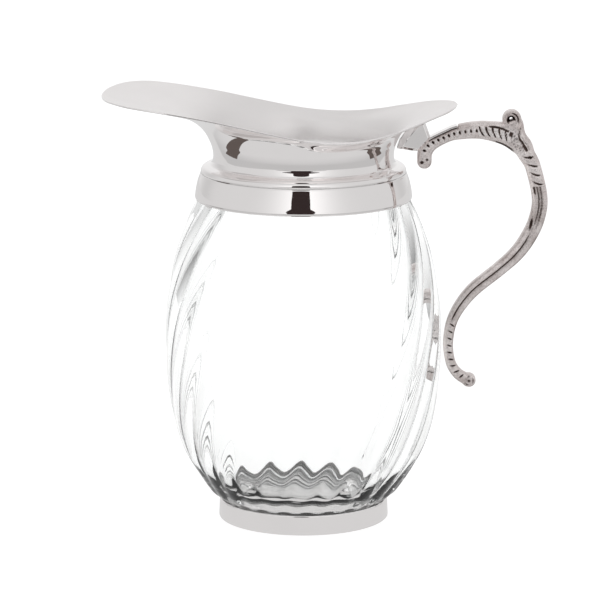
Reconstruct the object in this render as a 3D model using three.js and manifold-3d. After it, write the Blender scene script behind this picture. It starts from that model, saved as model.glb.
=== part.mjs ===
// A glass water pitcher with silver-plated mounts. A swirl-ribbed clear glass body stands in a plated
// foot cup. A plated collar grips its shoulder, and a spun neck opens into a long oval mouth with the
// spout at -X. A cast scroll handle hangs from one lug under the back of the lip, at +X.
// Millimetres, +Z up, origin at the middle of the foot's underside.

import * as THREE from 'three';
import { mergeVertices } from 'three/addons/utils/BufferGeometryUtils.js';
import Module from 'manifold-3d';

const wasm = await Module();
wasm.setup();

// ---- Driving dimensions ----

const GAP = 0.3;                 // clearance between pieces that touch on the real object
const SHEET = 0.9;               // thickness of the spun metal
const ROUND_STEPS = 48;          // facets round a plain spun piece

const FOOT_RADIUS = 43.3;
const FOOT_HEIGHT = 10;
const FOOT_TAPER = 0.6;          // how much narrower the cup is at its lip

const GLASS_SEAT = 2.8;          // underside of the glass above the table
const GLASS_TOP = 177.4;
const GLASS_BASE_RADIUS = 40.6;
const BED_BORE = 37;             // inner radius of the ring of cement under the glass
const GLASS_NECK_RADIUS = 49.6;
const RIBS = 26;
const RIB_DEPTH = 1.1;
const RIB_TWIST = THREE.MathUtils.degToRad(50);   // turn of a rib between the foot and the collar

const COLLAR_LOW = { r: 54.9, z: 165.4 };
const COLLAR_HIGH = { r: 51.9, z: 178.7 };

const MOUTH_STEPS = 48;          // facets round the neck and mouth
const SPOUT_TIP = { x: -101.2, z: 217.4 };
const BACK_TIP = { x: 77.1, z: 212.8 };

const HANDLE_THICKNESS = 8.5;    // across the handle, along Y
const HANDLE_BEVEL = 1.3;
const LUG_THICKNESS = 11;

// ---- Finishes ----

const platedSilver = () => new THREE.MeshStandardMaterial({ color: 0xd6d2d1, roughness: 0.08, metalness: 1 });
const castSilver = () => new THREE.MeshStandardMaterial({ color: 0xc2bab6, roughness: 0.34, metalness: 1 });
const clearGlass = () => new THREE.MeshStandardMaterial({ color: 0xf2f5f4, roughness: 0.04, metalness: 0 });
const paleCement = () => new THREE.MeshStandardMaterial({ color: 0xdfdcd8, roughness: 0.8, metalness: 0 });

// ---- Solids ----

// A closed geometry as a manifold solid.
function solidOf(geometry) {
  const bare = geometry.clone();
  bare.deleteAttribute('normal');
  bare.deleteAttribute('uv');
  const merged = mergeVertices(bare);
  return new wasm.Manifold(new wasm.Mesh({
    numProp: 3,
    vertProperties: new Float32Array(merged.attributes.position.array),
    triVerts: new Uint32Array(merged.index.array),
  }));
}

// A manifold solid as a geometry.
function geometryOf(solid) {
  const mesh = solid.getMesh();
  const geometry = new THREE.BufferGeometry();
  geometry.setAttribute('position', new THREE.BufferAttribute(mesh.vertProperties, 3));
  geometry.setIndex(new THREE.BufferAttribute(mesh.triVerts, 1));
  return geometry;
}

// A profile of [radius, height] points turned about Z. It starts and ends on the axis or closes on itself,
// and runs anticlockwise as seen with the radius to the right and the height up.
function spun(profile, steps = ROUND_STEPS) {
  const points = profile.map(([r, z]) => new THREE.Vector2(r, z));
  return new THREE.LatheGeometry(points, steps).rotateX(Math.PI / 2);
}

// Points along a smooth curve through [radius, height] stations.
function smooth(stations, count) {
  const curve = new THREE.SplineCurve(stations.map(([r, z]) => new THREE.Vector2(r, z)));
  return curve.getPoints(count).map((p) => [p.x, p.y]);
}

// The same curve moved sideways, to the left of the way it runs, by a distance.
function offset(points, distance) {
  return points.map((point, i) => {
    const before = points[Math.max(i - 1, 0)];
    const after = points[Math.min(i + 1, points.length - 1)];
    const length = Math.hypot(after[0] - before[0], after[1] - before[1]);
    const side = [-(after[1] - before[1]) / length, (after[0] - before[0]) / length];
    return [point[0] + side[0] * distance, point[1] + side[1] * distance];
  });
}

// A flat shape in the XZ plane given thickness along Y, centred on Y = 0, with its edges bevelled.
function slab(outline, thickness, bevel) {
  const shape = new THREE.Shape(outline.map(([x, z]) => new THREE.Vector2(x, z)));
  const flat = thickness - 2 * bevel;
  const geometry = new THREE.ExtrudeGeometry(shape, {
    depth: flat, steps: 1, bevelEnabled: bevel > 0,
    bevelThickness: bevel, bevelSize: bevel, bevelOffset: -bevel, bevelSegments: 2,
  });
  return geometry.translate(0, 0, -flat / 2).rotateX(Math.PI / 2);
}

// ---- Foot: a shallow spun cup, with a ring of cement under the edge of the glass ----

const lipRadius = FOOT_RADIUS - FOOT_TAPER;
const footCup = spun([
  [0, 0],
  [FOOT_RADIUS - 1, 0],
  [FOOT_RADIUS, 1],
  [lipRadius + 0.1, FOOT_HEIGHT - 0.9],
  [lipRadius - 0.4, FOOT_HEIGHT],
  [lipRadius - 1, FOOT_HEIGHT - 0.6],
  [lipRadius - 0.9, SHEET],
  [0, SHEET],
]);

const bedTop = GLASS_SEAT - GAP;
const footCement = spun([
  [BED_BORE, SHEET + GAP],
  [GLASS_BASE_RADIUS, SHEET + GAP],
  [GLASS_BASE_RADIUS, bedTop],
  [BED_BORE, bedTop],
  [BED_BORE, SHEET + GAP],
]);

// ---- Glass body: an egg-shaped blown wall with swirled ribs, open at the top ----

const bellyStations = [
  [42.2, 10.4], [48.6, 15.8], [55.5, 26], [61.9, 38], [66.3, 52], [69.1, 70], [70.1, 90],
  [69.2, 112], [65.4, 134], [59.6, 152], [53.5, 165], [GLASS_NECK_RADIUS + 0.4, 171],
];
const bellySteps = 14;
const bellyLow = bellyStations[0][1];
const bellyHigh = bellyStations.at(-1)[1];

// Every second upright line of facets sinks between two ribs, and each level turns with the swirl.
function ribbed(geometry, steps) {
  const position = geometry.attributes.position;
  const vertex = new THREE.Vector3();
  const upright = new THREE.Vector3(0, 0, 1);
  for (let i = 0; i < position.count; i += 1) {
    vertex.fromBufferAttribute(position, i);
    const height = THREE.MathUtils.clamp((vertex.z - bellyLow) / (bellyHigh - bellyLow), 0, 1);
    const line = Math.round((Math.atan2(vertex.y, vertex.x) / (2 * Math.PI)) * steps);
    const radius = Math.hypot(vertex.x, vertex.y);
    if (line % 2 !== 0 && radius > 1) {
      const depth = RIB_DEPTH * Math.sin(Math.PI * Math.min(1, height * 1.15)) ** 0.5;
      vertex.multiply(new THREE.Vector3(1 - depth / radius, 1 - depth / radius, 1));
    }
    vertex.applyAxisAngle(upright, RIB_TWIST * height);
    position.setXYZ(i, vertex.x, vertex.y, vertex.z);
  }
  return geometry;
}

const glassOutside = ribbed(spun([
  [0, GLASS_SEAT],
  [GLASS_BASE_RADIUS - 0.6, GLASS_SEAT],
  [GLASS_BASE_RADIUS, GLASS_SEAT + 0.8],
  [GLASS_BASE_RADIUS + 0.5, FOOT_HEIGHT - 0.8],
  ...smooth(bellyStations, bellySteps),
  [GLASS_NECK_RADIUS, bellyHigh + 1],
  [GLASS_NECK_RADIUS, GLASS_TOP],
  [0, GLASS_TOP],
], 2 * RIBS), 2 * RIBS);

const cavity = spun([
  [0, 11],
  ...smooth([
    [20, 11.2], [34, 13.5], [44, 19.5], [51.2, 27.5], [57.6, 38], [62.2, 52], [64.9, 70], [66, 90],
    [65.1, 112], [61.3, 134], [55.6, 152], [49.8, 164], [46, 171],
  ], 12),
  [45.4, 174],
  [45.4, GLASS_TOP + 10],
  [0, GLASS_TOP + 10],
], 2 * RIBS);
const glassBody = geometryOf(solidOf(glassOutside).subtract(solidOf(cavity)));

// ---- Collar: a conical band round the glass shoulder, bedded in a ring of cement ----

const collarInside = (z) => THREE.MathUtils.mapLinear(
  z, COLLAR_LOW.z, COLLAR_HIGH.z, COLLAR_LOW.r - SHEET, COLLAR_HIGH.r - SHEET,
);
const collarBand = spun([
  [COLLAR_LOW.r - SHEET, COLLAR_LOW.z + 0.3],
  [COLLAR_LOW.r - 0.3, COLLAR_LOW.z],
  [COLLAR_LOW.r, COLLAR_LOW.z + 0.8],
  [COLLAR_LOW.r - 0.5, COLLAR_LOW.z + 4.8],
  [COLLAR_LOW.r - 1.4, COLLAR_LOW.z + 8.8],
  [COLLAR_HIGH.r, COLLAR_HIGH.z],
  [COLLAR_HIGH.r - SHEET, COLLAR_HIGH.z],
  [COLLAR_LOW.r - SHEET, COLLAR_LOW.z + 0.3],
]);

const cementLow = bellyHigh + 0.4;
const cementHigh = GLASS_TOP - 0.4;
const collarCement = spun([
  [GLASS_NECK_RADIUS + GAP + 0.4, cementLow],
  [collarInside(cementLow) - GAP, cementLow],
  [collarInside(cementHigh) - GAP, cementHigh],
  [GLASS_NECK_RADIUS + GAP, cementHigh],
  [GLASS_NECK_RADIUS + GAP + 0.4, cementLow],
]);

// ---- Neck and mouth: one spinning, a shoulder and a waist, drawn out above into a long oval mouth ----

// The middle of the sheet from the collar to the top of the neck, as [radius, height].
const neckLine = smooth([
  [51.3, COLLAR_HIGH.z + GAP], [51.4, 179.7], [50.9, 180.7], [49.9, 181.4], [48.2, 182.2],
  [46.6, 183.3], [45.4, 185.2], [45.1, 187.4], [45.4, 190], [46.2, 193], [47.3, 195.6],
], 10);

// Half of the trimmed edge, from the tip of the spout to the back of the lip. The other half mirrors it.
const halfEdge = [
  [SPOUT_TIP.x, 0, SPOUT_TIP.z], [-100.3, 12, 217.6], [-97.6, 24, 217.8], [-92.4, 34.9, 218],
  [-86.5, 42.2, 217.8], [-80, 46.4, 217.3], [-74, 48.2, 216.6], [-62, 49.7, 214.8], [-44, 50.5, 211.6],
  [-26, 51.1, 207.7], [-8, 51.8, 203.9], [4, 51.7, 202], [16, 50.9, 201.2], [28, 48.5, 201.7],
  [40, 44.3, 203.5], [52, 37.4, 206.5], [64, 27.8, 209.8], [71.5, 19, 211.5], [75.6, 10, 212.5],
  [BACK_TIP.x, 0, BACK_TIP.z],
].map(([x, y, z]) => new THREE.Vector3(x, y, z));
const edgePoints = new THREE.CatmullRomCurve3(halfEdge, false, 'centripetal').getPoints(600);

// The edge's [radius, height] in the direction of an angle about Z, either side of +X.
function edgeTowards(angle) {
  const bearing = Math.abs(Math.atan2(Math.sin(angle), Math.cos(angle)));
  const miss = (p) => Math.abs(Math.atan2(p.y, p.x) - bearing);
  const nearest = edgePoints.reduce((best, p) => (miss(p) < miss(best) ? p : best));
  return [Math.hypot(nearest.x, nearest.y), nearest.z];
}

// The flare towards an angle: a cubic that leaves the neck along the neck's slope and lies flatter at
// the edge the further it has run.
function flareTowards(angle) {
  const [r0, z0] = neckLine.at(-1);
  const [r1, z1] = edgeTowards(angle);
  const run = Math.hypot(r1 - r0, z1 - z0);
  const neckSlope = THREE.MathUtils.degToRad(67);
  const edgeSlope = THREE.MathUtils.degToRad(11 + 39 * Math.exp(-(run - 8) / 12));
  const curve = new THREE.CubicBezierCurve(
    new THREE.Vector2(r0, z0),
    new THREE.Vector2(r0 + 0.3 * run * Math.cos(neckSlope), z0 + 0.3 * run * Math.sin(neckSlope)),
    new THREE.Vector2(r1 - 0.5 * run * Math.cos(edgeSlope), z1 - 0.5 * run * Math.sin(edgeSlope)),
    new THREE.Vector2(r1, z1),
  );
  return curve.getPoints(8).slice(1).map((p) => [p.x, p.y]);
}

// The sheet, as rings of points half its thickness outside and inside its middle, closed at both edges.
function sheetMetal() {
  const columns = [];
  for (let i = 0; i < MOUTH_STEPS; i += 1) {
    const angle = (2 * Math.PI * i) / MOUTH_STEPS;
    const section = [...neckLine, ...flareTowards(angle)];
    const outside = offset(section, -SHEET / 2);
    const inside = offset(section, SHEET / 2);
    const around = [...outside, ...inside.reverse()];
    columns.push(around.map(([r, z]) => [r * Math.cos(angle), r * Math.sin(angle), z]));
  }
  const rings = columns[0].length;
  const index = [];
  for (let i = 0; i < MOUTH_STEPS; i += 1) {
    const next = (i + 1) % MOUTH_STEPS;
    for (let k = 0; k < rings; k += 1) {
      const above = (k + 1) % rings;
      index.push(i * rings + k, next * rings + k, next * rings + above);
      index.push(i * rings + k, next * rings + above, i * rings + above);
    }
  }
  const geometry = new THREE.BufferGeometry();
  geometry.setAttribute('position', new THREE.Float32BufferAttribute(columns.flat(2), 3));
  geometry.setIndex(index);
  return geometryOf(solidOf(geometry));
}
const flaredMouth = sheetMetal();

// ---- Handle: one casting in the XZ plane, a scroll with a curl at each end and a volute above ----

// Each station is [x, z, width] along the middle of the scroll, from the top curl to the bottom one.
const scrollStations = [
  [60.9, 183.9, 7.4], [61.3, 188.6, 7.4], [64.5, 192.9, 6.9], [71.7, 196.8, 6.6], [77.9, 198.8, 7.6],
  [89.3, 199.8, 9], [101.5, 197.6, 10.9], [109.3, 192.4, 10.6], [112.5, 187.2, 8.7], [115.8, 180.7, 8],
  [119.3, 165, 8], [117.7, 153.6, 8], [113, 143.6, 7.8], [107.1, 135.7, 7.4], [98.8, 128.1, 7],
  [85, 116.5, 6.8], [76.4, 103.8, 5.7], [73.6, 91.4, 5.2], [74.8, 80.4, 5.1], [78.3, 74.4, 5.4],
  [83.4, 70.9, 6.1],
];

// The outline of the scroll, wider all round by a margin.
function scrollOutline(margin) {
  const middle = new THREE.SplineCurve(scrollStations.map(([x, z]) => new THREE.Vector2(x, z)));
  const width = new THREE.SplineCurve(scrollStations.map(([, , w], i) => new THREE.Vector2(i, w)));
  const count = 40;
  const outer = [];
  const inner = [];
  for (let i = 0; i <= count; i += 1) {
    const place = middle.getPoint(i / count);
    const along = middle.getTangent(i / count);
    const half = width.getPoint(i / count).y / 2 + margin;
    outer.push([place.x - along.y * half, place.y + along.x * half]);
    inner.push([place.x + along.y * half, place.y - along.x * half]);
  }
  return [...inner, ...outer.reverse()];
}

// A round boss across the handle, at [x, z] with a radius.
function boss([x, z, radius], thickness) {
  return new THREE.CylinderGeometry(radius, radius, thickness, 24).translate(x, 0, z);
}

// A boss for the curl at each end and for the volute, and the web that ties the volute to the scroll's back.
const bosses = [[60.9, 183.9, 3.7], [84.2, 70.8, 3.6], [102.9, 205, 5.1]];
const webOutline = [
  [99, 199], [107, 192], [115.6, 188.5], [113.8, 195.5], [111.8, 203], [108, 207.3], [103, 207],
];

// The whole scroll as a solid, larger all round by a margin.
function scroll(margin) {
  let solid = solidOf(slab(scrollOutline(margin), HANDLE_THICKNESS + 2 * margin, HANDLE_BEVEL));
  for (const [x, z, radius] of bosses) {
    solid = solid.add(solidOf(boss([x, z, radius + margin], HANDLE_THICKNESS - 1 + 2 * margin)));
  }
  return solid.add(solidOf(slab(webOutline, HANDLE_THICKNESS - 1, HANDLE_BEVEL)));
}
const scrollHandle = geometryOf(scroll(0));

// ---- Lug: a bevelled block that ties the handle to the neck, cut to fit both ----

const lugOutline = [[42, 191.6], [57.9, 189.2], [66, 192], [64, 197], [60.8, 206], [42, 206]];
const lugBlank = slab(lugOutline, LUG_THICKNESS, 1.5);
const backSection = [...neckLine, ...flareTowards(0)];
const underBell = spun([[0, 150], ...offset(backSection, -GAP - SHEET / 2), [0, 225]]);
const handleLug = geometryOf(solidOf(lugBlank).subtract(solidOf(underBell)).subtract(scroll(GAP)));

// ---- Assembly ----

const pitcher = new THREE.Group();

function place(parent, name, geometry, material) {
  const mesh = new THREE.Mesh(geometry, material);
  mesh.name = name;
  parent.add(mesh);
}

const foot = new THREE.Group();
place(foot, 'foot_cup', footCup, platedSilver());
place(foot, 'foot_cement', footCement, paleCement());
pitcher.add(foot);

place(pitcher, 'glass_body', glassBody, clearGlass());

const mount = new THREE.Group();
place(mount, 'collar_band', collarBand, platedSilver());
place(mount, 'collar_cement', collarCement, paleCement());
place(mount, 'flared_mouth', flaredMouth, platedSilver());
pitcher.add(mount);

const handle = new THREE.Group();
place(handle, 'handle_lug', handleLug, platedSilver());
place(handle, 'scroll_handle', scrollHandle, castSilver());
pitcher.add(handle);

export default pitcher;
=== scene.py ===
import bpy
import numpy as np
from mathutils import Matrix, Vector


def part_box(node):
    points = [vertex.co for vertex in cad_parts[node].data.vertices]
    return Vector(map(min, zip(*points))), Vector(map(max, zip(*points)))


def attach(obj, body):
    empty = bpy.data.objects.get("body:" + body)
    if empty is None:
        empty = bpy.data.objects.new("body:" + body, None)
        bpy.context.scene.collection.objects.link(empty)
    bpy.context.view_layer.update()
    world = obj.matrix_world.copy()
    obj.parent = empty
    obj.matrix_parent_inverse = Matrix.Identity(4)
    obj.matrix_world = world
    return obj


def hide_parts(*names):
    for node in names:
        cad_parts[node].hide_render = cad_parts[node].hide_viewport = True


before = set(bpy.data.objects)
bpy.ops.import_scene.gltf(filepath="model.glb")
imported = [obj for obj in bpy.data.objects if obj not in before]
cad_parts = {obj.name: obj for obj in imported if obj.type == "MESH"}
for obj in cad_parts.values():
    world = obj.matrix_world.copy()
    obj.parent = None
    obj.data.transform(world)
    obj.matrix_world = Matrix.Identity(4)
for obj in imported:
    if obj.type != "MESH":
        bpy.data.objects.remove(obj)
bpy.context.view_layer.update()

mm = 0.001

# ---- Foot cup ----
# The foot is a shallow cup spun from sheet brass and plated with silver. Its wall leans in a little towards
# a small rounded lip, and the glass is set into it.


def put(name, points, faces, attributes=None):
    """A mesh object from an array of points in metres and rows of corner numbers, shaded smooth."""
    mesh = bpy.data.meshes.new(name)
    mesh.from_pydata(points.tolist(), [], faces)
    for label, values in (attributes or {}).items():
        mesh.attributes.new(label, "FLOAT", "POINT").data.foreach_set("value", values.astype(np.float32))
    mesh.polygons.foreach_set("use_smooth", np.ones(len(mesh.polygons), bool))
    mesh.update()
    piece = bpy.data.objects.new(name, mesh)
    bpy.context.scene.collection.objects.link(piece)
    return piece


def grid_faces(rows, columns, first=0):
    """Four-sided faces between neighbouring points of a grid whose columns close on themselves. The faces
    look to the left of the way the columns run, when the rows run away from the viewer."""
    row, column = np.meshgrid(np.arange(rows - 1), np.arange(columns), indexing="ij")
    here = first + row * columns + column
    beside = first + row * columns + (column + 1) % columns
    return np.stack([here, beside, beside + columns, here + columns], -1).reshape(-1, 4)


def rounded(corners, steps=6):
    """A profile of [radius, height] points in mm through corners given as (radius, height, rounding). A corner
    with a rounding is replaced by a curve between two points that far from it, which bends the way a
    parabola does: a weighted mean of the first point, the corner and the last point."""
    profile = []
    for i, (r, z, size) in enumerate(corners):
        here = np.array([r, z], float)
        if size == 0:
            profile.append(here[None])
            continue
        before = np.array(corners[i - 1][:2], float) - here
        after = np.array(corners[(i + 1) % len(corners)][:2], float) - here
        start = here + before / np.hypot(*before) * size
        end = here + after / np.hypot(*after) * size
        t = np.linspace(0, 1, steps)[:, None]
        profile.append((1 - t) ** 2 * start + 2 * t * (1 - t) * here + t ** 2 * end)
    return np.concatenate(profile)


def turned(name, profile, steps=256, loop=False):
    """A solid of revolution about Z. The profile's points, in mm, run outwards along the underside, up the
    outside and back in over the top. It starts and ends on the axis, or closes on itself as a loop."""
    profile = np.vstack([profile, profile[:1]]) if loop else profile[1:-1]
    turn = np.linspace(0, 2 * np.pi, steps, endpoint=False)
    r, z = profile[:, :1] * mm, profile[:, 1:] * mm
    points = np.stack([r * np.cos(turn), r * np.sin(turn), z + 0 * turn], -1)
    faces = grid_faces(len(profile), steps)
    if loop:
        points = points[:-1].reshape(-1, 3)
        return put(name, points, (faces % len(points)).tolist())
    points = points.reshape(-1, 3)
    foot, top = len(points), len(points) + 1
    points = np.vstack([points, [0, 0, z[0, 0]], [0, 0, z[-1, 0]]])
    ring = np.arange(steps)
    last = foot - steps + ring
    faces = faces.tolist()
    faces += np.stack([np.full(steps, foot), np.roll(ring, -1), ring], -1).tolist()
    faces += np.stack([np.full(steps, top), last, np.roll(last, -1)], -1).tolist()
    return put(name, points, faces)


def polished_silver(name, tint, haze, streak):
    """Bright silver plate. The tint and the gloss drift over a few centimetres, fine wiping marks break the
    gloss up, and the surface rolls by a few hundredths of a millimetre, as spun sheet does. Haze is the mean
    roughness and streak the share of it that the wiping marks change."""
    material = bpy.data.materials.new(name)
    material.use_nodes = True
    nodes, links = material.node_tree.nodes, material.node_tree.links
    shader = nodes["Principled BSDF"]
    shader.inputs["Metallic"].default_value = 1
    place = nodes.new("ShaderNodeTexCoord")
    drift = nodes.new("ShaderNodeTexNoise")
    drift.inputs["Scale"].default_value = 28
    drift.inputs["Detail"].default_value = 3
    links.new(place.outputs["Object"], drift.inputs["Vector"])
    colour = nodes.new("ShaderNodeValToRGB")
    colour.color_ramp.elements[0].color = (*[c * 0.965 for c in tint], 1)
    colour.color_ramp.elements[1].color = (*[min(c * 1.03, 1) for c in tint], 1)
    links.new(drift.outputs["Fac"], colour.inputs["Fac"])
    links.new(colour.outputs["Color"], shader.inputs["Base Color"])
    stretch = nodes.new("ShaderNodeMapping")
    stretch.inputs["Scale"].default_value = (60, 60, 1400)
    links.new(place.outputs["Object"], stretch.inputs["Vector"])
    marks = nodes.new("ShaderNodeTexNoise")
    marks.inputs["Scale"].default_value = 1
    marks.inputs["Detail"].default_value = 4
    links.new(stretch.outputs["Vector"], marks.inputs["Vector"])
    gloss = nodes.new("ShaderNodeMapRange")
    gloss.inputs["From Min"].default_value = 0.35
    gloss.inputs["From Max"].default_value = 0.8
    gloss.inputs["To Min"].default_value = haze * (1 - streak)
    gloss.inputs["To Max"].default_value = haze * (1 + streak)
    links.new(marks.outputs["Fac"], gloss.inputs["Value"])
    links.new(gloss.outputs["Result"], shader.inputs["Roughness"])
    roll = nodes.new("ShaderNodeBump")
    roll.inputs["Strength"].default_value = 0.25
    roll.inputs["Distance"].default_value = 0.00003
    links.new(drift.outputs["Fac"], roll.inputs["Height"])
    links.new(roll.outputs["Normal"], shader.inputs["Normal"])
    return material


silver_tint = (0.93, 0.905, 0.9)
silver = polished_silver("silver_plate", silver_tint, 0.035, 0.5)

foot_low, foot_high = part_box("foot_cup")
foot_radius = foot_high.x / mm
foot_height = foot_high.z / mm
sheet = 0.9
lip_radius = foot_radius - 0.6
foot_cup = turned("foot_cup_spun", rounded([
    (0, 0, 0),
    (foot_radius, 0, 0.9),
    (lip_radius + 0.1, foot_height, 0.55),
    (lip_radius - 1.2, foot_height, 0.4),
    (lip_radius - 1.1, foot_height - 2, 0),
    (lip_radius - 1.0, sheet, 0.6),
    (0, sheet, 0),
]))
foot_cup.data.materials.append(silver)
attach(foot_cup, "root")
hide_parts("foot_cup")

# ---- Foot cement ----
# A narrow ring of pale cement holds the edge of the glass in the cup. Inside it the plated floor of the cup
# shows through the glass.

cement_low, cement_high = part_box("foot_cement")
cement_edge = cement_high.x / mm
bed_bore = 37
bed = turned("foot_cement_bed", rounded([
    (bed_bore, cement_low.z / mm, 0.2),
    (cement_edge, cement_low.z / mm, 0.2),
    (cement_edge, cement_high.z / mm, 0.3),
    (bed_bore, cement_high.z / mm, 0.3),
]), 128, loop=True)
cement = bpy.data.materials.new("pale_cement")
cement.use_nodes = True
nodes, links = cement.node_tree.nodes, cement.node_tree.links
place = nodes.new("ShaderNodeTexCoord")
grit = nodes.new("ShaderNodeTexNoise")
grit.inputs["Scale"].default_value = 900
grit.inputs["Detail"].default_value = 5
links.new(place.outputs["Object"], grit.inputs["Vector"])
tone = nodes.new("ShaderNodeValToRGB")
tone.color_ramp.elements[0].color = (0.82, 0.805, 0.795, 1)
tone.color_ramp.elements[1].color = (0.95, 0.94, 0.935, 1)
links.new(grit.outputs["Fac"], tone.inputs["Fac"])
links.new(tone.outputs["Color"], nodes["Principled BSDF"].inputs["Base Color"])
nodes["Principled BSDF"].inputs["Roughness"].default_value = 0.7
relief = nodes.new("ShaderNodeBump")
relief.inputs["Distance"].default_value = 0.0002
links.new(grit.outputs["Fac"], relief.inputs["Height"])
links.new(relief.outputs["Normal"], nodes["Principled BSDF"].inputs["Normal"])
bed.data.materials.append(cement)
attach(bed, "root")
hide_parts("foot_cement")

# ---- Glass body ----
# The body is clear glass blown into a ribbed mould and turned as it left it, so that the ribs lean. The wall
# is thicker at the base, the outside is ribbed and the inside follows the ribs faintly.


def through(stations, count):
    """A smooth curve through stations, as rows of numbers, with an even count of points along it. Each stretch
    is a cubic whose slopes at its ends are half the step between the stations on either side."""
    stations = np.asarray(stations, float)
    padded = np.vstack([2 * stations[0] - stations[1], stations, 2 * stations[-1] - stations[-2]])
    u = np.linspace(0, len(stations) - 1, count)
    i = np.minimum(u.astype(int), len(stations) - 2)
    t = (u - i)[:, None]
    a, b, c, d = padded[i], padded[i + 1], padded[i + 2], padded[i + 3]
    return 0.5 * (2 * b + (c - a) * t + (2 * a - 5 * b + 4 * c - d) * t ** 2 + (3 * b - a - 3 * c + d) * t ** 3)


glass_low, glass_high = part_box("glass_body")
seat = glass_low.z / mm
glass_rim = glass_high.z / mm
ribs = 26
rib_depth = 1.0
columns_per_rib = 12
neck_radius = 49.6
wall_outside = through([
    (42.4, 10.6), (44.8, 12.4), (48.6, 15.8), (55.5, 26), (61.9, 38), (66.3, 52), (69.1, 70), (70.1, 90),
    (69.2, 112), (65.4, 134), (59.6, 152), (53.5, 165), (50.1, 171),
], 130)
wall_inside = through([
    (45.9, 171), (50.0, 164), (56.0, 152), (61.8, 134), (65.6, 112), (66.5, 90), (65.4, 70), (62.6, 52),
    (57.9, 38), (51.2, 27.2), (43, 18.8), (34, 14), (20, 12), (8, 11.6),
], 90)
glass_profile = np.vstack([
    rounded([(6, seat, 0), (40.5, seat, 0.8), (41.1, 9.4, 0)]),
    wall_outside,
    rounded([(neck_radius, 173, 0), (neck_radius, glass_rim, 1.6), (45.5, glass_rim, 1.6), (45.5, 174, 0)]),
    wall_inside,
])
fade_low = np.clip((glass_profile[:, 1] - 9) / 8, 0, 1)
fade_high = np.clip((172 - glass_profile[:, 1]) / 12, 0, 1)
inside = np.arange(len(glass_profile)) >= len(glass_profile) - len(wall_inside)
rib_strength = rib_depth * fade_low * fade_high ** 0.7 * np.where(inside, 0.1, 1)
height = np.clip(glass_profile[:, 1], 0, 171)
swirl = np.radians(0.24 * height + 0.0005 * height ** 2)
swirl_at_belly = np.radians(0.24 * 103 + 0.0005 * 103 ** 2)
valley_at_belly = np.radians(56.1 - 90)
around = np.linspace(0, 2 * np.pi, ribs * columns_per_rib, endpoint=False)
valley = (0.5 + 0.5 * np.cos(ribs * around)) ** 1.25
r = (glass_profile[:, :1] - rib_strength[:, None] * valley) * mm
turn = around + swirl[:, None] - swirl_at_belly + valley_at_belly
points = np.stack([r * np.cos(turn), r * np.sin(turn), glass_profile[:, 1:] * mm + 0 * turn], -1).reshape(-1, 3)
steps = len(around)
faces = grid_faces(len(glass_profile), steps)
under, floor_inside = len(points), len(points) + 1
points = np.vstack([points, [0, 0, seat * mm], [0, 0, 11.6 * mm]])
ring = np.arange(steps)
last = under - steps + ring
faces = faces.tolist()
faces += np.stack([np.full(steps, under), np.roll(ring, -1), ring], -1).tolist()
faces += np.stack([np.full(steps, floor_inside), last, np.roll(last, -1)], -1).tolist()
glass_body = put("glass_body_blown", points, faces)

glass = bpy.data.materials.new("clear_glass")
glass.use_nodes = True
nodes, links = glass.node_tree.nodes, glass.node_tree.links
shader = nodes["Principled BSDF"]
shader.inputs["Transmission Weight"].default_value = 1
shader.inputs["IOR"].default_value = 1.5
place = nodes.new("ShaderNodeTexCoord")
seed = nodes.new("ShaderNodeTexNoise")
seed.inputs["Scale"].default_value = 45
seed.inputs["Detail"].default_value = 2
links.new(place.outputs["Object"], seed.inputs["Vector"])
tone = nodes.new("ShaderNodeValToRGB")
tone.color_ramp.elements[0].color = (0.985, 0.992, 0.99, 1)
tone.color_ramp.elements[1].color = (0.998, 1, 0.999, 1)
links.new(seed.outputs["Fac"], tone.inputs["Fac"])
links.new(tone.outputs["Color"], shader.inputs["Base Color"])
gloss = nodes.new("ShaderNodeMapRange")
gloss.inputs["To Max"].default_value = 0.012
links.new(seed.outputs["Fac"], gloss.inputs["Value"])
links.new(gloss.outputs["Result"], shader.inputs["Roughness"])
ripple = nodes.new("ShaderNodeBump")
ripple.inputs["Strength"].default_value = 0.3
ripple.inputs["Distance"].default_value = 0.00012
links.new(seed.outputs["Fac"], ripple.inputs["Height"])
links.new(ripple.outputs["Normal"], shader.inputs["Normal"])
glass_body.data.materials.append(glass)
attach(glass_body, "root")
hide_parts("glass_body")

# ---- Collar band ----
# A plated band, slightly barrelled, grips the shoulder of the glass. Its lower edge is rolled under and its
# upper edge is soldered to the neck.

collar_low, collar_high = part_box("collar_band")
band_radius = collar_high.x / mm
band_bottom = collar_low.z / mm
seam_radius = 51.9
seam_height = collar_high.z / mm
barrel = through([
    (band_radius, band_bottom + 0.9), (band_radius - 0.5, band_bottom + 4.8), (band_radius - 1.4, band_bottom + 8.8),
    (seam_radius + 0.25, seam_height - 0.6),
], 24)
collar_band = turned("collar_band_spun", np.vstack([
    rounded([(band_radius - 1.5, band_bottom + 0.6, 0.4), (band_radius + 0.02, band_bottom, 0.55)]),
    barrel,
    rounded([(seam_radius - 0.05, seam_height, 0.2), (seam_radius - 1, seam_height, 0.2)]),
    barrel[::-1] - (1, 0),
]), loop=True)
collar_band.data.materials.append(silver)
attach(collar_band, "root")
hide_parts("collar_band")

# ---- Collar cement ----
# A ring of the same pale cement fills the space between the neck of the glass and the band.

ring_low, ring_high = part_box("collar_cement")
ring_bed = turned("collar_cement_ring", rounded([
    (neck_radius + 0.8, ring_low.z / mm, 0.2),
    (ring_high.x / mm, ring_low.z / mm, 0.2),
    (ring_high.x / mm - 1.3, ring_high.z / mm, 0.2),
    (neck_radius + 0.4, ring_high.z / mm, 0.2),
]), 128, loop=True)
ring_bed.data.materials.append(cement)
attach(ring_bed, "root")
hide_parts("collar_cement")

# ---- Flared mouth ----
# One spinning: a rolled shoulder, a waist, and a wide bell trimmed to a long oval. The sides of the spout are
# bent up, and the cut edge is rounded over.

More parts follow.
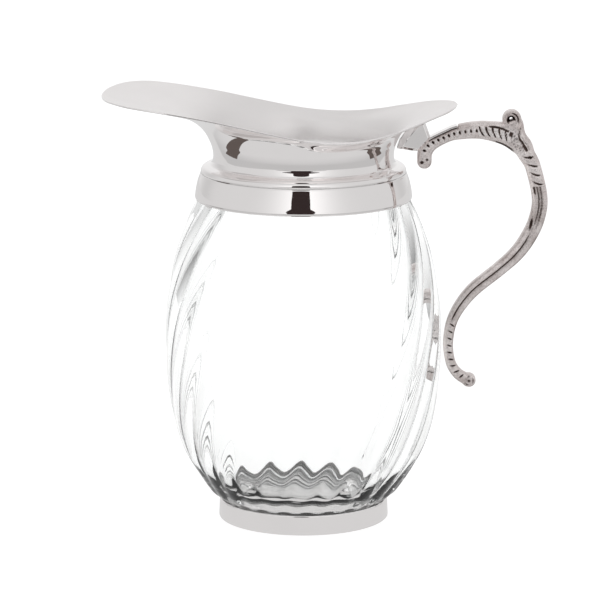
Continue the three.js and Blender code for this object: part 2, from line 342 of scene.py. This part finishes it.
half_sheet = 0.45
neck_line = through([
    (51.4, seam_height + 0.4), (51.35, 179.7), (51.15, 180.3), (50.75, 180.9), (49.9, 181.4), (48.4, 181.9),
    (46.9, 182.4), (46.1, 183.1), (45.6, 184), (45.32, 185), (45.2, 186), (45.12, 187.4), (45.4, 190),
    (46.2, 193), (47.3, 195.6),
], 140)
mouth_edge = through([
    (-101.2, 0, 217.4), (-100.3, 12, 217.6), (-97.6, 24, 217.8), (-92.4, 34.9, 218), (-86.5, 42.2, 217.8),
    (-80, 46.4, 217.3), (-74, 48.2, 216.6), (-62, 49.7, 214.8), (-44, 50.5, 211.6), (-26, 51.1, 207.7),
    (-8, 51.8, 203.9), (4, 51.7, 202), (16, 50.9, 201.2), (28, 48.5, 201.7), (40, 44.3, 203.5),
    (52, 37.4, 206.5), (64, 27.8, 209.8), (71.5, 19, 211.5), (75.6, 10, 212.5), (77.1, 0, 212.8),
], 1200)
mouth_edge = np.vstack([mouth_edge, mouth_edge[-2:0:-1] * (1, -1, 1)])
turn = np.linspace(-np.pi, np.pi, 400, endpoint=False)
bearing = np.arctan2(mouth_edge[:, 1], mouth_edge[:, 0])
order = np.argsort(bearing)
edge_radius = np.interp(turn, bearing[order], np.hypot(*mouth_edge.T[:2])[order], period=2 * np.pi)
edge_height = np.interp(turn, bearing[order], mouth_edge[order, 2], period=2 * np.pi)
flare_start = neck_line[-1]
neck_slope = neck_line[-1] - neck_line[-2]
neck_slope = neck_slope / np.hypot(*neck_slope)
flare_length = np.hypot(edge_radius - flare_start[0], edge_height - flare_start[1])
edge_slope = np.radians(11 + 39 * np.exp(-(flare_length - 8) / 12))
t = np.linspace(0, 1, 60)[1:, None]


def flare(start, lean_out, lean_back, end):
    """One coordinate of a curve that leaves the neck along the neck's own slope and reaches the edge of
    the mouth at the slope the edge has there: the cubic of Bezier with four control values."""
    return (1 - t) ** 3 * start + 3 * t * (1 - t) ** 2 * lean_out + 3 * t ** 2 * (1 - t) * lean_back + t ** 3 * end


radius = flare(flare_start[0], flare_start[0] + neck_slope[0] * flare_length * 0.3,
               edge_radius - np.cos(edge_slope) * flare_length * 0.5, edge_radius)
height = flare(flare_start[1], flare_start[1] + neck_slope[1] * flare_length * 0.3,
               edge_height - np.sin(edge_slope) * flare_length * 0.5, edge_height)
radius = np.vstack([neck_line[:, :1] + 0 * turn, radius])
height = np.vstack([neck_line[:, 1:] + 0 * turn, height])
middle = np.stack([radius * np.cos(turn), radius * np.sin(turn), height], -1)
up_metal = np.gradient(middle, axis=0)
round_metal = (np.roll(middle, -1, 1) - np.roll(middle, 1, 1)) / 2
outward = np.cross(round_metal, up_metal)
outward /= np.linalg.norm(outward, axis=-1, keepdims=True)
up_metal /= np.linalg.norm(up_metal, axis=-1, keepdims=True)
bend = np.linspace(0, np.pi, 9)[1:-1, None, None]
rim_roll = middle[-1] + half_sheet * (np.cos(bend) * outward[-1] + np.sin(bend) * up_metal[-1])
seam_roll = middle[0] - half_sheet * (np.cos(bend) * outward[0] + np.sin(bend) * up_metal[0])
sections = np.concatenate([
    middle + half_sheet * outward, rim_roll, (middle - half_sheet * outward)[::-1], seam_roll,
])
faces = grid_faces(len(sections) + 1, len(turn)) % (len(sections) * len(turn))
mouth = put("flared_mouth_spun", sections.reshape(-1, 3) * mm, faces.tolist())
mouth.data.materials.append(silver)
mouth.data.materials.append(polished_silver("silver_satin", silver_tint, 0.46, 0.06))
row_of_face = np.arange(len(faces)) // len(turn)
inside_rows = (row_of_face >= len(middle) + 6) & (row_of_face < 2 * len(middle) + 6)
mouth.data.polygons.foreach_set("material_index", inside_rows.astype(np.int32))
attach(mouth, "root")
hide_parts("flared_mouth")

# ---- Scroll handle ----
# One casting in silver-plated white metal, left matt, with dark oxide in its recesses. A row of beads,
# slanting lobes, crescents and flutes are cast into both faces of a scroll that swells at the shoulder. A strip
# low on the side of the arm is painted shade, and the raised beads and lobes carry a painted highlight, partly
# real rubbed wear.


def smooth_step(value, start, end):
    """Nought before start, one after end, and an even S-shaped rise between them."""
    share = np.clip((value - start) / (end - start), 0, 1)
    return share ** 2 * (3 - 2 * share)


def mound(distance, width):
    """A bell-shaped rise of height one, falling to a third at a distance equal to its width."""
    return np.exp(-(distance / width) ** 2)


def swept(name, middle_line, across, through_y, **shades):
    """A bar along a line in the XZ plane. Each row of across and through_y gives the distance of its points
    from the line, to the left of its run and along Y. Both ends are closed to a point."""
    run = np.gradient(middle_line, axis=0)
    run /= np.linalg.norm(run, axis=1, keepdims=True)
    x = middle_line[:, :1] - run[:, 1:] * across
    z = middle_line[:, 1:] + run[:, :1] * across
    points = np.stack([x, through_y, z], -1)
    rows, columns = across.shape
    faces = grid_faces(rows, columns).tolist()
    ends = points[[0, -1]].mean(axis=1)
    ring = np.arange(columns)
    last = (rows - 1) * columns + ring
    faces += np.stack([np.full(columns, rows * columns), np.roll(ring, -1), ring], -1).tolist()
    faces += np.stack([np.full(columns, rows * columns + 1), last, np.roll(last, -1)], -1).tolist()
    points = np.vstack([points.reshape(-1, 3), ends]) * mm
    return put(name, points, faces, {label: np.append(shade.ravel(), [0, 0]) for label, shade in shades.items()})


scroll_line = through([
    (60.9, 183.9, 7.4), (61.3, 188.6, 7.4), (64.5, 192.9, 6.9), (71.7, 196.8, 6.6), (77.9, 198.8, 7.6),
    (89.3, 199.8, 9), (101.5, 197.6, 10.9), (109.3, 192.4, 10.6), (112.5, 187.2, 8.7), (115.8, 180.7, 8),
    (119.3, 165, 8), (117.7, 153.6, 8), (113, 143.6, 7.8), (107.1, 135.7, 7.4), (98.8, 128.1, 7),
    (85, 116.5, 6.8), (76.4, 103.8, 5.7), (73.6, 91.4, 5.2), (74.8, 80.4, 5.1), (78.3, 74.4, 5.4), (83.4, 70.9, 6.1),
], 4001)
walked = np.append(0, np.cumsum(np.hypot(*np.diff(scroll_line[:, :2], axis=0).T)))
scroll_length = walked[-1]
top_cap, low_cap = 3.7, 2.9
cap_bend = np.linspace(0, np.pi / 2, 20)[1:]
s = np.concatenate([
    -top_cap * np.sin(cap_bend[::-1]), np.linspace(0, scroll_length, 840),
    scroll_length + low_cap * np.sin(cap_bend),
])
shrink = np.concatenate([np.cos(cap_bend[::-1]), np.ones(840), np.cos(cap_bend)])
shrink = np.maximum(shrink, 0.03)[:, None]
inner = np.clip(s, 0, scroll_length)
centre = np.stack([np.interp(inner, walked, scroll_line[:, k]) for k in (0, 1)], -1)
first_run = scroll_line[1, :2] - scroll_line[0, :2]
last_run = scroll_line[-1, :2] - scroll_line[-2, :2]
centre += (np.minimum(s, 0)[:, None] * first_run / np.hypot(*first_run)
           + np.maximum(s - scroll_length, 0)[:, None] * last_run / np.hypot(*last_run))
half_width = np.interp(inner, walked, scroll_line[:, 2])[:, None] / 2
half_thick = 4.2 - 1.0 * smooth_step(s, 110, 175)[:, None] + 0.25 * mound(s[:, None] - 52, 9)
s = s[:, None]
phi = np.linspace(0, 2 * np.pi, 104, endpoint=False)
square = 2 / 3.4
across_share = np.sign(np.cos(phi)) * np.abs(np.cos(phi)) ** square
thick_share = -np.sign(np.sin(phi)) * np.abs(np.sin(phi)) ** square
under_tongue = 1.15 * smooth_step(s, 8, 11) * (1 - smooth_step(s, 25.0, 25.6))
outer_trim = 1 - under_tongue / half_width * (across_share > 0)
web = 5.3 * mound(s - 51.4, 3.3) * np.maximum(across_share, 0)
n = half_width * across_share * outer_trim + web
on_face = smooth_step(np.abs(thick_share), 0.72, 0.97)

row = smooth_step(s, 3, 5) * (1 - smooth_step(s, 34.5, 36))
row_middle = 0.1 + 0.9 * (1 - smooth_step(s, 4, 19))
bead = (s - 5.6) / 2.85
relief = row * mound(n - row_middle, 1.5) * (0.22 + 0.3 * np.abs(np.sin(np.pi * bead)) ** 0.7)
relief -= row * 1.15 * mound((bead - np.round(bead)) * 2.85, 0.5) * mound(n - row_middle, 0.75)
lobes = smooth_step(s, 34, 36) * (1 - smooth_step(s, 50, 53))
lobe = (s + 0.55 * n - 0.1 * n ** 2 - 36.1) / 3.2
lobe_band = lobes * smooth_step(n, -2.6, -1.9) * (1 - smooth_step(n, 1.8, 2.6))
relief += lobe_band * (0.5 * np.abs(np.sin(np.pi * lobe)) ** 0.6 - 0.75 * mound((lobe - np.round(lobe)) * 3.2, 0.42))
leaf_line = smooth_step(s, 39, 42) * (1 - smooth_step(s, 52, 55))
relief -= leaf_line * 0.7 * mound(n - 2.85 + 0.02 * (s - 44) ** 2, 0.35)
strap_start = smooth_step(s, 52.2, 53) * (1 - smooth_step(s, 66, 69))
strap = 0.9 + 6 * np.exp(-np.maximum(s - 52.9, 0) / 0.5) + 2.9 * np.exp(-np.maximum(s - 52.9, 0) / 3.5)
relief -= strap_start * (0.6 * mound(n - strap, 0.4) + 0.4 * mound(n - strap - 1.15, 0.3))
relief += strap_start * 0.3 * smooth_step(n, strap + 0.2, strap + 0.9)
leaf = smooth_step(s, 51, 54) * (1 - smooth_step(s, 61, 64)) * smooth_step(n, -3.8, -2.6)
leaf = leaf * (1 - smooth_step(n, strap - 1.2, strap - 0.3))
relief += leaf * 0.13 * (np.sin(2.3 * s + 1.1 * n) * np.sin(1.2 * s - 2.6 * n))
scales = smooth_step(s, 61, 63) * (1 - smooth_step(s, 80.6, 81.4))
scale = (s - 0.62 * n + 0.12 * n ** 2 - 65.6) / 4.75
scale_place = scale - np.floor(scale)
scale_band = scales * smooth_step(n, -3.0, -2.2) * (1 - smooth_step(n, 2.0, 3.0))
relief += scale_band * (0.62 * (4 * scale_place * (1 - scale_place)) ** 0.7
                        - 0.85 * mound((scale - np.round(scale)) * 4.75, 0.45) * mound(n - 0.3, 2))
flutes = smooth_step(s, 80.5, 82) * (1 - smooth_step(s, 96, 106))
relief -= flutes * (0.4 * mound(n + 0.5, 0.3) + 0.22 * mound(n - 0.95, 0.25))
relief -= 0.5 * smooth_step(s, 79, 80.5) * (1 - smooth_step(s, 83, 86)) * mound(n + 2.2, 0.35)
relief -= 0.9 * mound(s - 101.6, 3.0) ** 2 * mound(n + 2.3 - 0.14 * (s - 101.6), 0.5)
tail = smooth_step(s, 104, 112) * (1 - smooth_step(s, 162, 170))
relief += tail * (0.3 * mound(n + 1.35, 0.45) - 0.42 * mound(n + 0.55, 0.35))
notches = smooth_step(s, 166.5, 168) * (1 - smooth_step(s, 199, 200.5))
notch = (s - 0.35 * n - 169) / 3.65
relief += notches * 0.35 * mound(n - 0.55, 1.3) * np.abs(np.sin(np.pi * notch)) ** 0.6
relief -= notches * 0.75 * mound((notch - np.round(notch)) * 3.65, 0.38) * mound(n - 0.55, 0.95)
relief -= 0.9 * mound(s + 0.2, 0.55) * mound(n - 1.4, 0.55) + 0.6 * mound(s - 1.3, 0.45) * mound(n + 1.2, 0.4)
edge_bead = 0.3 * mound(n + half_width - 1.2, 0.8) * smooth_step(s, 2, 6) * (1 - smooth_step(s, 60, 66))
relief = (relief + edge_bead) * on_face

through_y = half_thick * thick_share * shrink ** 0.4 + np.sign(thick_share) * relief * shrink
shade = np.clip(-relief / 0.3, 0, 1)
# Painted shade: a strip low on the side of the arm, about 43 to 59 mm along the scroll, is darkened like the oxide.
painted_shade_under_arm = smooth_step(s, 43, 47) * (1 - smooth_step(s, 54, 59))
shade = np.maximum(shade, 0.95 * painted_shade_under_arm * smooth_step(-n - half_width, -1.5, -0.9))
# Painted highlight, partly real rubbed wear: the raised beads and lobes are coloured brighter, less so from about 48 mm
# on.
shine = np.clip((relief - 0.12) / 0.4, 0, 1) * (0.65 - 0.5 * smooth_step(s, 48, 60))
scroll = swept("scroll_handle_cast", centre, n * shrink, through_y, recess=shade, shine=shine)

cast = bpy.data.materials.new("cast_silver")
cast.use_nodes = True
nodes, links = cast.node_tree.nodes, cast.node_tree.links
shader = nodes["Principled BSDF"]
shader.inputs["Metallic"].default_value = 1
place = nodes.new("ShaderNodeTexCoord")
grain = nodes.new("ShaderNodeTexNoise")
grain.inputs["Scale"].default_value = 1500
grain.inputs["Detail"].default_value = 4
links.new(place.outputs["Object"], grain.inputs["Vector"])
patches = nodes.new("ShaderNodeTexNoise")
patches.inputs["Scale"].default_value = 160
patches.inputs["Detail"].default_value = 3
links.new(place.outputs["Object"], patches.inputs["Vector"])
metal_tone = nodes.new("ShaderNodeValToRGB")
metal_tone.color_ramp.elements[0].color = (0.66, 0.585, 0.565, 1)
metal_tone.color_ramp.elements[0].position = 0.3
metal_tone.color_ramp.elements[1].color = (0.92, 0.855, 0.84, 1)
metal_tone.color_ramp.elements[1].position = 0.62
links.new(patches.outputs["Fac"], metal_tone.inputs["Fac"])
recess = nodes.new("ShaderNodeAttribute")
recess.attribute_name = "recess"
spread = nodes.new("ShaderNodeMath")
spread.operation = "MULTIPLY_ADD"
links.new(grain.outputs["Fac"], spread.inputs[0])
spread.inputs[1].default_value = 0.9
links.new(recess.outputs["Fac"], spread.inputs[2])
oxide_and_shade_mix = nodes.new("ShaderNodeMapRange")
oxide_and_shade_mix.inputs["From Min"].default_value = 0.42
oxide_and_shade_mix.inputs["From Max"].default_value = 0.95
links.new(spread.outputs["Value"], oxide_and_shade_mix.inputs["Value"])
darken = nodes.new("ShaderNodeMix")
darken.data_type = "RGBA"
links.new(oxide_and_shade_mix.outputs["Result"], darken.inputs["Factor"])
# Painted highlight, partly real rubbed wear: the shine attribute mixes the colour towards a brighter silver.
highlight_and_wear = nodes.new("ShaderNodeAttribute")
highlight_and_wear.attribute_name = "shine"
brighten = nodes.new("ShaderNodeMix")
brighten.data_type = "RGBA"
links.new(highlight_and_wear.outputs["Fac"], brighten.inputs["Factor"])
links.new(metal_tone.outputs["Color"], brighten.inputs["A"])
brighten.inputs["B"].default_value = (0.97, 0.95, 0.94, 1)
links.new(brighten.outputs["Result"], darken.inputs["A"])
darken.inputs["B"].default_value = (0.075, 0.052, 0.045, 1)
links.new(darken.outputs["Result"], shader.inputs["Base Color"])
matt = nodes.new("ShaderNodeMapRange")
matt.inputs["To Min"].default_value = 0.26
matt.inputs["To Max"].default_value = 0.46
links.new(patches.outputs["Fac"], matt.inputs["Value"])
links.new(matt.outputs["Result"], shader.inputs["Roughness"])
pitting = nodes.new("ShaderNodeBump")
pitting.inputs["Strength"].default_value = 0.8
pitting.inputs["Distance"].default_value = 0.00012
links.new(grain.outputs["Fac"], pitting.inputs["Height"])
links.new(pitting.outputs["Normal"], shader.inputs["Normal"])
scroll.data.materials.append(cast)
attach(scroll, "root")
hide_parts("scroll_handle")

# ---- Volute of the handle ----
# The scroll's shoulder ends in a curl with a hole through it, cast in one with the rest.

eye_x, eye_z = 104.1, 205.4
bearing = np.linspace(0, 2 * np.pi, 160, endpoint=False)[:, None]
psi = np.linspace(0, 2 * np.pi, 96, endpoint=False)
wall = 1.45 + 0.28 * np.cos(bearing)
rho = 3.35 + 0.4 * np.cos(bearing) + wall * np.sign(np.cos(psi)) * np.abs(np.cos(psi)) ** square
rho = rho - (1.15 - 0.3 * np.sin(bearing + 0.8)) * np.maximum(-np.cos(psi), 0) ** 6
face = np.sign(np.sin(psi)) * np.abs(np.sin(psi)) ** square
groove_middle = 3.3 + 0.4 * np.cos(bearing)
groove = mound(rho - groove_middle, 0.3) * smooth_step(np.cos(bearing + 0.25), -0.35, 0.35)
curl_relief = smooth_step(np.abs(face), 0.7, 0.97) * (0.3 * mound(rho - 2.2, 0.5) - 0.65 * groove)
points = np.stack([
    eye_x + rho * np.cos(bearing), 4.1 * face + np.sign(face) * curl_relief, eye_z + rho * np.sin(bearing),
], -1)
faces = grid_faces(161, 96) % (160 * 96)
# Painted shade: the wall inside the hole through the curl is darkened with the oxide.
painted_shade_in_eye = smooth_step(-np.cos(psi), 0.5, 0.9) * (1 - smooth_step(np.abs(face), 0.9, 1)) + 0 * bearing
curl = put("volute_cast", points.reshape(-1, 3) * mm, faces.tolist(), {
    "recess": np.clip(-curl_relief / 0.4 + painted_shade_in_eye, 0, 1).ravel(),
})
curl.data.materials.append(cast)
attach(curl, "root")

# ---- Button of the handle's foot ----
# The tail of the scroll ends in a small round button with a dimpled face.

button_psi = np.linspace(0, np.pi, 60)[1:-1, None]
button_turn = np.linspace(0, 2 * np.pi, 72, endpoint=False)
button_r = 3.55 * np.sin(button_psi) ** 0.55
button_y = -3.4 * np.sign(np.cos(button_psi)) * np.abs(np.cos(button_psi)) ** 0.45
dimple = 0.35 * mound(button_r, 0.7) + 0.3 * mound(button_r - 2.2, 0.35) * (1 + np.cos(3 * button_turn)) / 2
button_y = button_y - np.sign(button_y) * dimple
points = np.stack([
    84.2 + button_r * np.cos(button_turn), button_y, 70.8 + button_r * np.sin(button_turn),
], -1)
rows, columns = button_y.shape
faces = grid_faces(rows, columns)[:, ::-1].tolist()
ring = np.arange(columns)
last = (rows - 1) * columns + ring
faces += np.stack([np.full(columns, rows * columns), ring, np.roll(ring, -1)], -1).tolist()
faces += np.stack([np.full(columns, rows * columns + 1), np.roll(last, -1), last], -1).tolist()
points = np.vstack([points.reshape(-1, 3), points[[0, -1]].mean(axis=1)]) * mm
button = put("button_cast", points, faces, {"recess": np.append(np.clip(dimple * 2, 0, 1).ravel(), [0.8, 0.8])})
button.data.materials.append(cast)
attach(button, "root")

# ---- Handle lug ----
# A plated block, cut to the curve of the neck and soldered to it, carries the scroll. A thin plate runs out
# from its top along the scroll.


def block(name, outline, face_outline, full, face):
    """A flat-sided block across Y. Its outline in XZ, anticlockwise with X to the right, holds for the middle
    of its thickness, up to full either way, and narrows to the face outline at the two faces."""
    outline, face_outline = np.array(outline, float), np.array(face_outline, float)
    loops = [(face_outline, -face), (outline, -full), (outline, full), (face_outline, face)]
    points = np.concatenate([np.insert(loop, 1, y, axis=1) for loop, y in loops])
    count = len(outline)
    faces = grid_faces(4, count)[:, ::-1].tolist()
    faces += [list(range(count)), list(range(4 * count - 1, 3 * count - 1, -1))]
    piece = put(name, points * mm, faces)
    piece.data.polygons.foreach_set("use_smooth", np.zeros(len(piece.data.polygons), bool))
    edge = piece.modifiers.new("eased_edges", "BEVEL")
    edge.width = 0.25 * mm
    edge.segments = 2
    return piece


lug = block("handle_lug_block",
            [(46.9, 190.9), (57.9, 189.2), (64, 195.9), (61.4, 203.0), (61, 204.6), (57.2, 203.9), (51.2, 199.6), (48.6, 195.7)],
            [(49.9, 192.2), (57.4, 190.9), (62.6, 196.4), (60.3, 202.6), (59.9, 203.2), (58.0, 202.4), (54.6, 199.0), (52, 195.8)],
            3.4, 5.4)
lug.data.materials.append(silver)
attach(lug, "root")
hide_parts("handle_lug")

plate_s = np.linspace(9.5, 24.8, 120)[:, None]
plate_line = np.stack([np.interp(plate_s[:, 0], walked, scroll_line[:, k]) for k in (0, 1)], -1)
plate_top = np.interp(plate_s, walked, scroll_line[:, 2]) / 2
plate_phi = np.linspace(0, 2 * np.pi, 48, endpoint=False)
plate_square = 2 / 6
plate_across = plate_top - 0.5 + 0.5 * np.sign(np.cos(plate_phi)) * np.abs(np.cos(plate_phi)) ** plate_square
plate_y = -3.7 * np.sign(np.sin(plate_phi)) * np.abs(np.sin(plate_phi)) ** plate_square + 0 * plate_s
plate = swept("handle_plate", plate_line, plate_across, plate_y)
plate.data.materials.append(silver)
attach(plate, "root")

# ---- Studio ----
# A plain white floor under an even white sky, with a bright panel and a dark gap in front that polished
# metal picks up.

bpy.ops.mesh.primitive_plane_add(size=14, location=(0, 0, -0.0002))
floor = bpy.context.object
floor.name = "studio_floor"
paper = bpy.data.materials.new("white_paper")
paper.use_nodes = True
paper_shader = paper.node_tree.nodes["Principled BSDF"]
paper_shader.inputs["Base Color"].default_value = (0.5, 0.5, 0.5, 1)
paper_shader.inputs["Roughness"].default_value = 0.9
paper_shader.inputs["Specular IOR Level"].default_value = 0.1
paper_shader.inputs["Emission Color"].default_value = (1, 1, 1, 1)
paper_shader.inputs["Emission Strength"].default_value = 0.75
floor.data.materials.append(paper)

sky = bpy.data.worlds.new("white_sky")
bpy.context.scene.world = sky
sky.use_nodes = True
sky.node_tree.nodes["Background"].inputs["Color"].default_value = (1, 1, 1, 1)
sky.node_tree.nodes["Background"].inputs["Strength"].default_value = 0.71


def light_sheet(name, points, light, tint=(1, 1, 1), seen_through_glass=False):
    """A sheet of light from a grid of points in metres, with a radiance for each. It is seen either only in
    reflections or only through glass, and lights nothing else."""
    rows, columns = points.shape[:2]
    row, column = np.meshgrid(np.arange(rows - 1), np.arange(columns - 1), indexing="ij")
    here = row * columns + column
    quads = np.stack([here, here + 1, here + 1 + columns, here + columns], -1).reshape(-1, 4)
    sheet = put(name, points.reshape(-1, 3), quads.tolist(), {"light": np.broadcast_to(light, (rows, columns)).ravel()})
    glow = bpy.data.materials.new(name + "_glow")
    glow.use_nodes = True
    glow.node_tree.nodes.clear()
    strength = glow.node_tree.nodes.new("ShaderNodeAttribute")
    strength.attribute_name = "light"
    emission = glow.node_tree.nodes.new("ShaderNodeEmission")
    emission.inputs["Color"].default_value = (*tint, 1)
    glow.node_tree.links.new(strength.outputs["Fac"], emission.inputs["Strength"])
    output = glow.node_tree.nodes.new("ShaderNodeOutputMaterial")
    glow.node_tree.links.new(emission.outputs["Emission"], output.inputs["Surface"])
    sheet.data.materials.append(glow)
    sheet.visible_camera = False
    sheet.visible_diffuse = False
    sheet.visible_shadow = False
    sheet.visible_glossy = not seen_through_glass
    sheet.visible_transmission = seen_through_glass


def round_about(azimuth, elevation, distance):
    """Points round the pitcher at azimuths from straight in front and elevations seen from the collar, both
    in degrees."""
    side, rise = np.broadcast_arrays(np.radians(azimuth), np.radians(elevation))
    return np.stack([
        distance * np.sin(side), -distance * np.cos(side), 0.17 + distance * np.tan(rise),
    ], -1)


azimuth = np.linspace(-100, 100, 81)
elevation = np.linspace(-3.2, 52, 40)[:, None]
fade_out = 1 - smooth_step(elevation, 34, 52)
light_sheet("front_light", round_about(azimuth, elevation, 2.9), 0.71 + 0.42 * mound(azimuth, 30) * fade_out)
back = np.linspace(100, 260, 65)
elevation = np.linspace(-3.2, 44, 30)[:, None]
light_sheet("back_light", round_about(back, elevation, 2.9),
            0.71 + 0.2 * mound(back - 180, 24) * (1 - smooth_step(elevation, 36, 44))
            - 0.09 * mound(np.abs(back - 180) - 50, 14))
elevation = np.linspace(-3.4, 39, 80)[:, None]
gap_half = np.where(elevation < 30, 10, 10 * np.sqrt(np.maximum(1 - ((elevation - 30) / 9) ** 2, 0)))
gap_half = gap_half + 22 * np.clip((5.5 - elevation) / 7.5, 0, 1) ** 1.9
light_sheet("dark_gap", round_about(gap_half * np.linspace(-1, 1, 21) - 3, elevation, 2.6), 0.035, (1, 0.7, 0.7))
x, y = np.meshgrid(np.linspace(-3, 3, 121), np.linspace(-2.9, 2.9, 121), indexing="ij")
reach = np.hypot(x, y)
bearing = np.degrees(np.arctan2(x, -y))
# Painted shade: the table glow is dimmer within about 0.2 to 0.45 m of the pitcher, except behind it, as seen in
# reflections.
table_light = 0.70 - 0.15 * smooth_step(reach, 0.2, 0.45) * (y < 0.3)
table_light = table_light + 0.4 * smooth_step(reach, 1.2, 1.5) * mound(bearing, 45)
light_sheet("table_glow", np.stack([x, y, 0 * x - 0.0001], -1).swapaxes(0, 1), table_light.T)
for side_sign in (-1, 1):
    side = np.radians(side_sign * np.linspace(94, 118, 6))
    reach = np.linspace(0.1, 0.42, 12)[:, None]
    light_sheet("side_shade_" + ("left" if side_sign < 0 else "right"),
                np.stack([reach * np.sin(side), -reach * np.cos(side), 0 * reach * side + 0.0005], -1),
                0.12, (1, 0.82, 0.75))
    azimuth = 180 + side_sign * np.linspace(30, 88, 34)
    elevation = np.linspace(-32, 40, 12)[:, None]
    light_sheet("flag_" + ("left" if side_sign < 0 else "right"), round_about(azimuth, elevation, 0.9),
                1 - 0.85 * smooth_step(np.abs(azimuth - 180), 30, 70), seen_through_glass=True)

# ---- Camera ----
# A long lens a little above the rim, looking slightly down.

camera_data = bpy.data.cameras.new("camera")
camera = bpy.data.objects.new("camera", camera_data)
bpy.context.scene.collection.objects.link(camera)
camera_data.lens = 238.5
camera_data.sensor_width = 36
camera.location = (-0.0018, -1.976, 0.529)
camera.rotation_euler = (np.radians(90 - 11.91), 0, 0)
bpy.context.scene.camera = camera
bpy.context.scene.view_settings.view_transform = "Standard"
